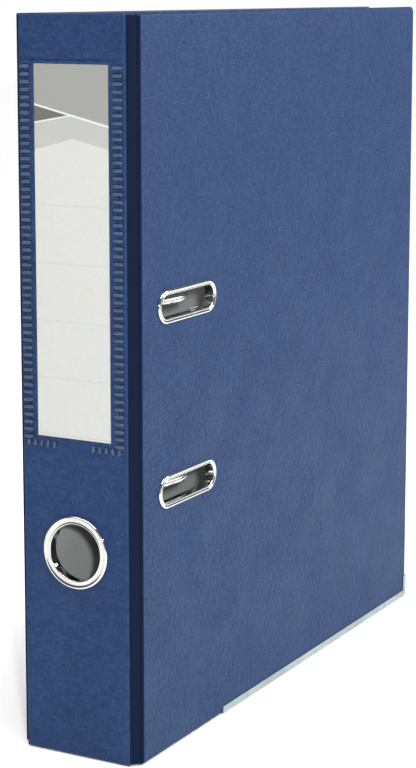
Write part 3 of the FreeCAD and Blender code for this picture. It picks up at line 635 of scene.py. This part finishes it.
lining_corners = (LINING_CORNER,) * 4
lining_edge = inset_edge(cover_low, cover_high, HEM_SHOWN, lining_corners)
spine_edge = inset_edge(spine_corner_low, spine_corner_high, HEM_SHOWN / 2, lining_corners)
for name, edge, holes, place, body in (
    ("front", lining_edge, slot_holes, front_place.point, "front_cover"),
    ("back", lining_edge, [], back_place.point, "back_cover"),
    ("spine", spine_edge, [ring_hole], spine_point, "spine"),
):
    lining_sheet(name + "_lining_paper", edge, holes, place, body, name + "_lining")
print("linings cut, hem %.0f mm" % (HEM_SHOWN / MM))

# %% [markdown]
# ## Hinge strips
# Between spine and cover the film runs free in a shallow groove. It is the one soft part
# that crosses a joint. Here it is a fixed trough that runs from the spine's edge to the
# cover's edge.

# %% Press the two hinge strips
STRIP_THICK = 0.45 * MM
STRIP_SAG = 0.55 * MM
STRIP_SUNK = 0.12 * MM
STRIP_START_SUNK = 0.21 * MM
STRIP_STEPS = 12
STRIP_LEVELS = 24
GROOVE_ROUNDNESS = 0.6


def hinge_strip(name, start, end, inward, node):
    """A shallow trough from the spine's edge to the cover's edge."""
    section = [start + inward * STRIP_START_SUNK]
    for i in range(1, STRIP_STEPS + 1):
        share = i / STRIP_STEPS
        sag = STRIP_SAG * math.sin(math.pi * share) ** GROOVE_ROUNDNESS
        section.append(start + (end - start) * share + inward * (sag + STRIP_SUNK))
    hidden = [point + inward * STRIP_THICK for point in section][::-1]
    low, high = spine_low.z + FOLD / 2, spine_high.z - FOLD / 2
    bm = bmesh.new()
    loops = []
    for level in range(STRIP_LEVELS + 1):
        up = low + (high - low) * level / STRIP_LEVELS
        loops.append(loop_of(bm, [Vector((p.x, p.y, up)) for p in section + hidden]))
    for first, second in zip(loops, loops[1:]):
        bridge(bm, first, second)
    bm.faces.new(loops[0][::-1])
    bm.faces.new(loops[-1])
    strip = piece_from(bm, name, pressed_shaded_film, "hinge_film", None, smooth=40)
    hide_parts(node)
    return strip


front_start = Vector((spine_high.x - FOLD / 3, spine_low.y + FOLD / 6, 0))
front_end = front_place.point(FOLD / 6, COVER_NEAR + FOLD / 3, 0)
strip = hinge_strip("front_hinge_strip", front_start, front_end,
                    Vector((-1, 1, 0)).normalized(), "front_hinge_film")
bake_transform(strip)

back_start = Vector((spine_low.x + FOLD / 3, spine_low.y + FOLD / 6, 0))
back_end = back_place.point(FOLD / 6, COVER_NEAR + FOLD / 3, 0)
strip = hinge_strip("back_hinge_strip", back_start, back_end,
                    Vector((1, 1, 0)).normalized(), "back_hinge_film")
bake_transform(strip)
print("hinge strips %.1f mm wide" % ((front_end - front_start).length / MM))

# %% [markdown]
# ## Rolled rims
# The finger ring and the slot rims are eyelets: sheet metal drawn into a barrel, with a
# flange that is rolled into a bead and a lip. One section is swept round a circle for the
# ring and round a stadium for the slots. Round stretches need many steps, because a
# mirror-bright rim shows every flat.

# %% The section of a rim, and its sweep
LIP_RADIUS = 0.42 * MM
LIP_RISE = 0.38 * MM
BEAD_RADIUS = 0.75 * MM
BEAD_FOOT = 0.1 * MM


def rim_section(flange, through, curl):
    """(outward, rise) pairs: bore, lip, shallow groove, bead, and the barrel behind."""
    lip = arc((LIP_RADIUS, LIP_RISE), LIP_RADIUS, math.pi, 0.25 * math.pi, 6)
    bead_centre = (flange - BEAD_RADIUS, RIM_PROUD - BEAD_RADIUS)
    bead = arc(bead_centre, BEAD_RADIUS, 0.75 * math.pi, -0.1 * math.pi, 9)
    front = lip + bead + [(flange - BEAD_FOOT, 0.0)]
    behind = [(RIM_WALL, -0.02 * MM), (RIM_WALL, -through)]
    roll = arc((curl / 2, -through - 0.2 * MM), curl / 2, 0.1, -math.pi, 8)
    return front + behind + roll


def swept_rim(name, outline, section, place, body, *replaced):
    """Sweep a closed section along a closed outline; outline(grow) gives its points."""
    bm = bmesh.new()
    loops = [
        loop_of(bm, [place(-rise, a, b) for a, b in outline(outward)])
        for outward, rise in section
    ]
    for first, second in zip(loops, loops[1:] + loops[:1]):
        bridge(bm, first, second)
    rim = piece_from(bm, name, nickel, "nickel_rim", body, *replaced, smooth=50)
    print(name, len(rim.data.polygons), "faces")


# %% The finger ring
RING_CURL = 1.7 * MM
ring_through = SKIN + ring_high.y - ring_low.y
ring_section = rim_section(RING_FLANGE - RING_BORE, ring_through, RING_CURL)


def ring_outline(grow):
    return circle(ring_centre, RING_BORE + grow, 128)


swept_rim("finger_ring_rolled", ring_outline, ring_section, spine_point, "spine", "finger_ring")

# %% The two slot rims
SLOT_CURL = 1.1 * MM
slot_through = SKIN + washer_high.x - washer_low.x
slot_section = rim_section(RIM_FLANGE, slot_through, SLOT_CURL)
for side, (centre, length, width) in slots.items():
    def slot_outline(grow, centre=centre, length=length, width=width):
        return stadium(centre, length - 2 * RIM_WALL, width - 2 * RIM_WALL, grow, 32)

    swept_rim("slot_rim_rolled_" + side, slot_outline, slot_section, front_place.point,
              "front_cover", "slot_rim_" + side)

# %% [markdown]
# ## Catches
# Each slot has a small tongue on its lower side. The tongue is cut from the rim's sheet
# and bent outward, and it holds the arch when the cover is shut.

# %% Bend the two catches
CATCH_OFFSET = 5.8 * MM
CATCH_THICK = 0.5 * MM
# rise above the slot's floor, distance out of the cover's face, and width, all in mm
CATCH_SECTIONS = (
    (-0.25, 0.35, 3.4), (0.0, 0.1, 3.4), (0.35, -0.25, 3.91), (1.0, -0.2, 5.95), (1.7, 0.15, 7.0)
)


def catch(side):
    """A tongue that widens towards its tip, swept as a bent strip."""
    centre, length, width = slots[side]
    middle = centre[0] + CATCH_OFFSET
    floor_height = centre[1] - width / 2 + RIM_WALL
    bm = bmesh.new()
    loops = []
    for rise, out, wide in CATCH_SECTIONS:
        up = floor_height + rise * MM
        depth, half = -out * MM, wide * MM / 2
        inner = depth + CATCH_THICK
        corners = ((depth, -half), (depth, half), (inner, half), (inner, -half))
        loops.append(loop_of(bm, [front_place.point(d, middle + a, up) for d, a in corners]))
    for first, second in zip(loops, loops[1:]):
        bridge(bm, first, second)
    bm.faces.new(loops[0][::-1])
    bm.faces.new(loops[-1])
    piece_from(bm, "slot_catch_" + side, nickel, "nickel_rim", "front_cover", smooth=40)


for side in slots:
    catch(side)
print("catches bent, %.1f mm tall" % CATCH_SECTIONS[-1][0])

# %% [markdown]
# ## Stamped and bent metal
# Rails, base plate, lever and compressor bar come from the frame with sharp edges, and
# sheet metal never has those. A copy of each is cleaned and gets a narrow bevel, which
# catches the light. The original stays behind for collision.

# %% Soften a copy of a node
def softened(node, width, material, slot, body):
    """Bevel a copy of a node's sharp edges and let it stand in for the node."""
    mesh = frame["nodes"][node].data.copy()
    bm = bmesh.new()
    bm.from_mesh(mesh)
    bmesh.ops.remove_doubles(bm, verts=bm.verts, dist=1e-6)
    bmesh.ops.dissolve_limit(bm, angle_limit=math.radians(1), verts=bm.verts, edges=bm.edges)
    bm.to_mesh(mesh)
    bm.free()
    work = bpy.data.objects.new(node + "_work", mesh)
    bpy.context.scene.collection.objects.link(work)
    bevel = work.modifiers.new("edge", "BEVEL")
    bevel.width = width
    bevel.segments = 2
    bevel.limit_method = "ANGLE"
    bevel.angle_limit = math.radians(40)
    bevel.use_clamp_overlap = True
    graph = bpy.context.evaluated_depsgraph_get()
    done = bpy.data.meshes.new_from_object(work.evaluated_get(graph))
    bpy.data.objects.remove(work)
    piece = finish_piece(done, node + "_finished", material, slot, body, node, smooth=40)
    print(piece.name, len(piece.data.polygons), "faces")


for node, width, material, slot, body in (
    ("front_rail", 0.18 * MM, zinc, "rail_steel", "front_cover"),
    ("back_rail", 0.18 * MM, zinc, "rail_steel", "back_cover"),
    ("base_plate", 0.2 * MM, plate_steel, "plated_steel", "back_cover"),
    ("compressor_bar", 0.2 * MM, plate_steel, "plated_steel", "compressor"),
    ("lever_arm", 0.15 * MM, plate_steel, "plated_steel", "lever"),
):
    softened(node, width, material, slot, body)

# %% [markdown]
# ## Welds of the label pocket
# The clear pocket is welded to the spine with a ribbed tool: a column of short bars on
# each side and a row of upright ones below. They repeat at an even pitch, which is work
# for Geometry Nodes. One tree places one bar at each point of a line, and its named inputs
# set how many bars there are, how far apart, how big and which way they lie. A bar is a
# ball whose ends are squared off along X.

# %% The tree that repeats a weld bar
SQUARING = 0.55
BALL_TO_BAR = 0.5 ** SQUARING


def squared_ball(t, link):
    """A ball of diameter 1 with its points pushed out along X, less near the ends."""
    ball = t.add("GeometryNodeMeshUVSphere", Segments=16, Rings=10, Radius=0.5)
    at = t.split(t.add("GeometryNodeInputPosition").outputs[0])
    stretch = t.math("POWER", t.math("ABSOLUTE", at["X"]), -SQUARING)
    longer = t.math("MULTIPLY", at["X"], stretch)
    join = t.add("ShaderNodeCombineXYZ", X=longer, Y=at["Y"], Z=at["Z"])
    squared = t.add("GeometryNodeSetPosition")
    link(ball.outputs["Mesh"], squared.inputs["Geometry"])
    link(join.outputs[0], squared.inputs["Position"])
    return squared.outputs["Geometry"]


def weld_tree(material):
    group = bpy.data.node_groups.new("weld_bars", "GeometryNodeTree")
    for label, kind, value in (
        ("Count", "NodeSocketInt", 10), ("Start", "NodeSocketVector", (0, 0, 0)),
        ("Pitch", "NodeSocketVector", (0, 0, 0.003)), ("Bar Size", "NodeSocketVector", (1, 1, 1)),
        ("Turn", "NodeSocketVector", (0, 0, 0)),
    ):
        socket = group.interface.new_socket(label, in_out="INPUT", socket_type=kind)
        socket.default_value = value
    group.interface.new_socket("Geometry", in_out="OUTPUT", socket_type="NodeSocketGeometry")
    t = Tree(group)
    link = group.links.new
    given = group.nodes.new("NodeGroupInput").outputs
    line = t.add(
        "GeometryNodeMeshLine", Count=given["Count"], Start_Location=given["Start"],
        Offset=given["Pitch"],
    )
    bars = t.add(
        "GeometryNodeInstanceOnPoints", Points=line.outputs["Mesh"],
        Instance=squared_ball(t, link), Rotation=given["Turn"], Scale=given["Bar Size"],
    )
    real = t.add("GeometryNodeRealizeInstances", Geometry=bars.outputs["Instances"])
    paint = t.add(
        "GeometryNodeSetMaterial", Geometry=real.outputs["Geometry"], Material=material
    )
    link(paint.outputs["Geometry"], group.nodes.new("NodeGroupOutput").inputs["Geometry"])
    return group


def grown(tree, name, inputs):
    """Run a Geometry Nodes tree on an empty mesh and keep the result as a plain mesh."""
    seed = bpy.data.objects.new(name + "_seed", bpy.data.meshes.new(name))
    bpy.context.scene.collection.objects.link(seed)
    modifier = seed.modifiers.new(name, "NODES")
    modifier.node_group = tree
    sockets = {item.name: item.identifier for item in tree.interface.items_tree}
    for label, value in inputs.items():
        modifier[sockets[label]] = value
    graph = bpy.context.evaluated_depsgraph_get()
    mesh = bpy.data.meshes.new_from_object(seed.evaluated_get(graph))
    seed.modifiers.remove(modifier)
    bpy.data.objects.remove(seed)
    return mesh


# %% [markdown]
# The weld itself is the pocket's clear film, melted on to the blue one. It reads as a
# greyer and glossier blue, so its material has more grey and less roughness than the film.

# %% Weld and clear film materials
weld_film, t, shader = new_material("welded_film", Specular_IOR_Level=0.6)
marks = use_group(t, handling, Scale=120.0, Low=0.32, High=0.5)
melted = t.mix(marks["Mask"], (0.016, 0.034, 0.085, 1), (0.036, 0.062, 0.125, 1))
t.plug(melted, shader.inputs["Base Color"])
t.plug(marks["Roughness"], shader.inputs["Roughness"])
bumped(t, shader, t.noise(t.place(), 700.0), 0.2, 0.2 * MM)

clear_film, t, shader = new_material("clear_film", IOR=1.45, Specular_IOR_Level=0.5)
marks = use_group(t, handling, Scale=25.0, Low=0.16, High=0.3)
hazy = t.mix(marks["Mask"], (0.6, 0.63, 0.66, 1), (0.74, 0.77, 0.8, 1))
t.plug(hazy, shader.inputs["Base Color"])
t.plug(marks["Roughness"], shader.inputs["Roughness"])
t.plug(t.math("MULTIPLY_ADD", marks["Mask"], 0.003, 0.003), shader.inputs["Alpha"])
bumped(t, shader, t.noise(t.stretched(t.place(), (30, 30, 8)), 1.0), 0.1, 2 * MM)

# %% Grow the weld bars
WELD_PITCH = 3.2 * MM
BAR_LONG = 4.6 * MM
BAR_WIDE = 1.45 * MM
BAR_RISE = 1.3 * MM
COLUMN_START = 4 * MM
COLUMN_INSET = 0.2 * MM
ROW_BARS = 5
ROW_BAR_LONG = 2.8 * MM
ROW_START = 1.6 * MM
ROW_INSET = 2.5 * MM
bars = weld_tree(weld_film)
middle = (pocket_low.x + pocket_high.x) / 2
half_pocket = (pocket_high.x - pocket_low.x) / 2
bar_y = pocket_low.y - 0.05 * MM
column_bars = int((pocket_high.z - pocket_low.z - COLUMN_START) / WELD_PITCH) + 1
column_x = half_pocket - BAR_LONG / 2 - COLUMN_INSET
row_x = half_pocket - ROW_INSET
rows = []
for side in (-1, 1):
    rows.append({
        "Count": column_bars,
        "Start": (middle + side * column_x, bar_y, pocket_low.z + COLUMN_START),
        "Pitch": (0.0, 0.0, WELD_PITCH),
        "Bar Size": (BAR_LONG * BALL_TO_BAR, BAR_RISE, BAR_WIDE),
        "Turn": (0.0, 0.0, 0.0),
    })
    rows.append({
        "Count": ROW_BARS,
        "Start": (middle + side * row_x, bar_y, pocket_low.z + ROW_START),
        "Pitch": (-side * WELD_PITCH, 0.0, 0.0),
        "Bar Size": (ROW_BAR_LONG * BALL_TO_BAR, BAR_RISE, BAR_WIDE),
        "Turn": (0.0, math.pi / 2, 0.0),
    })
weld = bmesh.new()
for number, inputs in enumerate(rows):
    weld.from_mesh(grown(bars, "weld_row_%d" % number, inputs))
pocket_weld = piece_from(
    weld, "label_pocket_weld", weld_film, "clear_pocket", "spine", smooth=60
)
print("weld bars: %d faces in %d rows" % (len(pocket_weld.data.polygons), len(rows)))

# %% [markdown]
# ## The label
# A plain card with a grey heading, a dark wedge and a pale band below it, thin light lines
# between them, and faint ruled lines to write on. Every edge is a straight line that falls
# or rises across the card. It is found by comparing the object coordinates with the card's
# box, in millimetres down from the card's own top edge.

# %% Label card material
SOFT = 0.15 * MM
HEADING, WEDGE, BAND = (0.235, 0.24, 0.225, 1), (0.1, 0.1, 0.09, 1), (0.35, 0.355, 0.335, 1)
LIGHT_LINE, RULED_GREY = (0.56, 0.57, 0.55, 1), (0.3, 0.31, 0.3, 1)
RULED_PITCH, RULED_START, RULED_HALF = 24.4 * MM, 34 * MM, 0.22 * MM

card, t, shader = new_material("printed_card", Roughness=0.6, Specular_IOR_Level=0.3)
at = t.split(t.place())
down = t.math("SUBTRACT", card_high.z, at["Z"])
right = t.math("SUBTRACT", at["X"], card_low.x)


def below_edge(slope, millimetres):
    """1 below an edge that starts so far down the left side and falls by the slope."""
    shifted = t.math("MULTIPLY_ADD", right, -slope, down)
    return t.step(shifted, millimetres * MM, SOFT)


below_band = t.math("MULTIPLY", below_edge(0.22, 26.5), below_edge(-0.27, 35.6))
paper = t.mix(t.noise(t.place(), 500.0, 3.0), (0.43, 0.435, 0.41, 1), (0.48, 0.485, 0.46, 1))
to_line = t.math("PINGPONG", t.math("SUBTRACT", down, RULED_START), RULED_PITCH / 2)
on_line = t.math("LESS_THAN", to_line, RULED_HALF)
ruled = t.math("MULTIPLY", on_line, t.step(down, RULED_START + 2 * MM, SOFT))
colour = t.mix(t.math("MULTIPLY", ruled, 0.35), paper, RULED_GREY)
for below, above in (
    (below_band, BAND), (below_edge(-0.185, 24.6), LIGHT_LINE), (below_edge(-0.185, 24.0), WEDGE),
    (below_edge(0.23, 17.2), LIGHT_LINE), (below_edge(0.23, 16.4), HEADING),
):
    colour = t.mix(below, above, colour)
t.plug(colour, shader.inputs["Base Color"])
bumped(t, shader, t.noise(t.place(), 1500.0), 0.1, 0.1 * MM)
print("label card:", len(card.node_tree.nodes), "nodes")

# %% [markdown]
# ## Plastics of the mechanism
# The grip and the clips are moulded in black with a fine sandy texture, and the small
# roller is turned from milky nylon.

# %% Moulded plastics
def moulded(name, deep, pale, rough):
    material, t, shader = new_material(name, Specular_IOR_Level=0.4)
    marks = use_group(t, handling, Scale=150.0, Low=rough, High=rough + 0.15)
    t.plug(t.mix(marks["Mask"], deep, pale), shader.inputs["Base Color"])
    t.plug(marks["Roughness"], shader.inputs["Roughness"])
    bumped(t, shader, t.noise(t.place(), 2500.0), 0.35, 0.1 * MM)
    return material


black_plastic = moulded("black_moulding", (0.012, 0.012, 0.013, 1), (0.03, 0.03, 0.032, 1), 0.4)
nylon = moulded("nylon", (0.5, 0.5, 0.46, 1), (0.6, 0.6, 0.56, 1), 0.35)
print("plastics:", black_plastic.name, nylon.name)

# %% Give every node that stays its finish
finishes = {
    "grey_board": grey_board, "cover_film": film, "hinge_film": pressed_shaded_film,
    "lining_paper": lining_paper, "rail_steel": zinc, "nickel_rim": nickel,
    "backing_steel": plate_steel, "plated_steel": plate_steel, "rivet_steel": wire_nickel,
    "clear_pocket": clear_film, "label_card": card, "black_plastic": black_plastic,
    "roller_plastic": nylon,
}
for part in frame["record"]["subparts"]:
    shown = frame["nodes"][part["node"]]
    shown.data.materials.clear()
    shown.data.materials.append(finishes[part["material_slot"]])
for node in ("arch_bracket", "post_upper", "post_lower", "lever_pivot_pin", "roller_pin"):
    frame["nodes"][node].data.materials[0] = wire_nickel

# %% [markdown]
# ## Studio
# A pale floor, an even white surround and four lights. The large soft one stands to the
# right of the front cover and lights it. A high one lights the top of the spine, a small
# one beside the camera lights the label and the inside of the slots, and a broad sun
# overhead whitens the floor.

# %% Floor
floor_mesh = bpy.data.meshes.new("floor")
bm = bmesh.new()
bmesh.ops.create_circle(bm, cap_ends=True, segments=64, radius=6.0)
bm.to_mesh(floor_mesh)
bm.free()
floor = bpy.data.objects.new("floor", floor_mesh)
bpy.context.scene.collection.objects.link(floor)
pale_floor, t, shader = new_material("pale_floor", Roughness=0.6, Specular_IOR_Level=0.2)
tone = t.mix(t.noise(t.place(), 3.0), (0.93, 0.93, 0.925, 1), (0.96, 0.96, 0.955, 1))
t.plug(tone, shader.inputs["Base Color"])
floor_mesh.materials.append(pale_floor)
print("floor laid")

# %% Surround
SURROUND_STRENGTH = 0.16
BACKDROP_STRENGTH = 1.0
world = bpy.data.worlds.new("studio")
bpy.context.scene.world = world
world.use_nodes = True
t = Tree(world.node_tree)
surround = world.node_tree.nodes["Background"]
surround.inputs["Color"].default_value = (0.95, 0.97, 1.0, 1)
surround.inputs["Strength"].default_value = SURROUND_STRENGTH
backdrop = t.add("ShaderNodeBackground", Color=(1, 1, 1, 1), Strength=BACKDROP_STRENGTH)
seen = t.add("ShaderNodeLightPath").outputs["Is Camera Ray"]
blended = t.add("ShaderNodeMixShader", Fac=seen)
t.plug(surround.outputs[0], blended.inputs[1])
t.plug(backdrop.outputs[0], blended.inputs[2])
t.plug(blended.outputs[0], world.node_tree.nodes["World Output"].inputs["Surface"])
print("surround %.2f, backdrop %.2f" % (SURROUND_STRENGTH, BACKDROP_STRENGTH))

# %% Lights
middle_height = cad_box[1].z / 2
# name, spot, target, size in metres, power in watts, colour
SOFT_LIGHTS = (
    ("right_softbox", (0.66, 0.56, 0.66), (0, 0.1, 0.2), (0.5, 0.5), 9.8, (0.86, 0.94, 1)),
    ("spine_softbox", (-0.3, -0.5, 0.72), (0, -0.14, 0.3), (0.4, 0.3), 1.9, (1, 0.95, 0.95)),
    ("lens_light", (0.52, -0.86, 0.385), (0, -0.05, middle_height), (0.04, 0.04), 5.2, (1, 1, 1)),
)
SUN_STRENGTH = 3.15
SUN_SPREAD = math.radians(40)
SUN_LEAN = (math.radians(6), math.radians(10), 0)


def placed_lamp(name, kind, strength):
    lamp = bpy.data.lights.new(name, kind)
    lamp.energy = strength
    holder = bpy.data.objects.new(name, lamp)
    bpy.context.scene.collection.objects.link(holder)
    return lamp, holder


for name, spot, target, size, power, tint in SOFT_LIGHTS:
    lamp, holder = placed_lamp(name, "AREA", power)
    lamp.shape = "RECTANGLE"
    lamp.size, lamp.size_y = size
    lamp.color = tint
    holder.location = spot
    aim = (Vector(target) - Vector(spot)).to_track_quat("-Z", "Y")
    holder.rotation_euler = aim.to_euler()
sun, holder = placed_lamp("overhead", "SUN", SUN_STRENGTH)
sun.angle = SUN_SPREAD
holder.rotation_euler = SUN_LEAN
bpy.context.scene.view_settings.view_transform = "Standard"
print("lights:", len(SOFT_LIGHTS), "soft ones and a sun")

# %% [markdown]
# ## Camera
# The camera stands to the right of the spine, a little above the middle of the file, and
# looks slightly down. A long lens keeps the uprights nearly parallel.

# %% Camera
CAMERA_SPOT = (0.45234, -0.84748, 0.33059)
CAMERA_TURN = 28.86
CAMERA_PITCH = -9.09
camera_data = bpy.data.cameras.new("camera")
camera_data.lens = 95.2
camera_data.sensor_width = 36
camera_data.shift_y = -0.10
camera = bpy.data.objects.new("camera", camera_data)
bpy.context.scene.collection.objects.link(camera)
camera.location = CAMERA_SPOT
camera.rotation_euler = (math.radians(90 + CAMERA_PITCH), 0, math.radians(CAMERA_TURN))
bpy.context.scene.camera = camera
distance = (Vector(CAMERA_SPOT) - Vector((0, 0, middle_height))).length
print("camera %.2f m from the file" % distance)
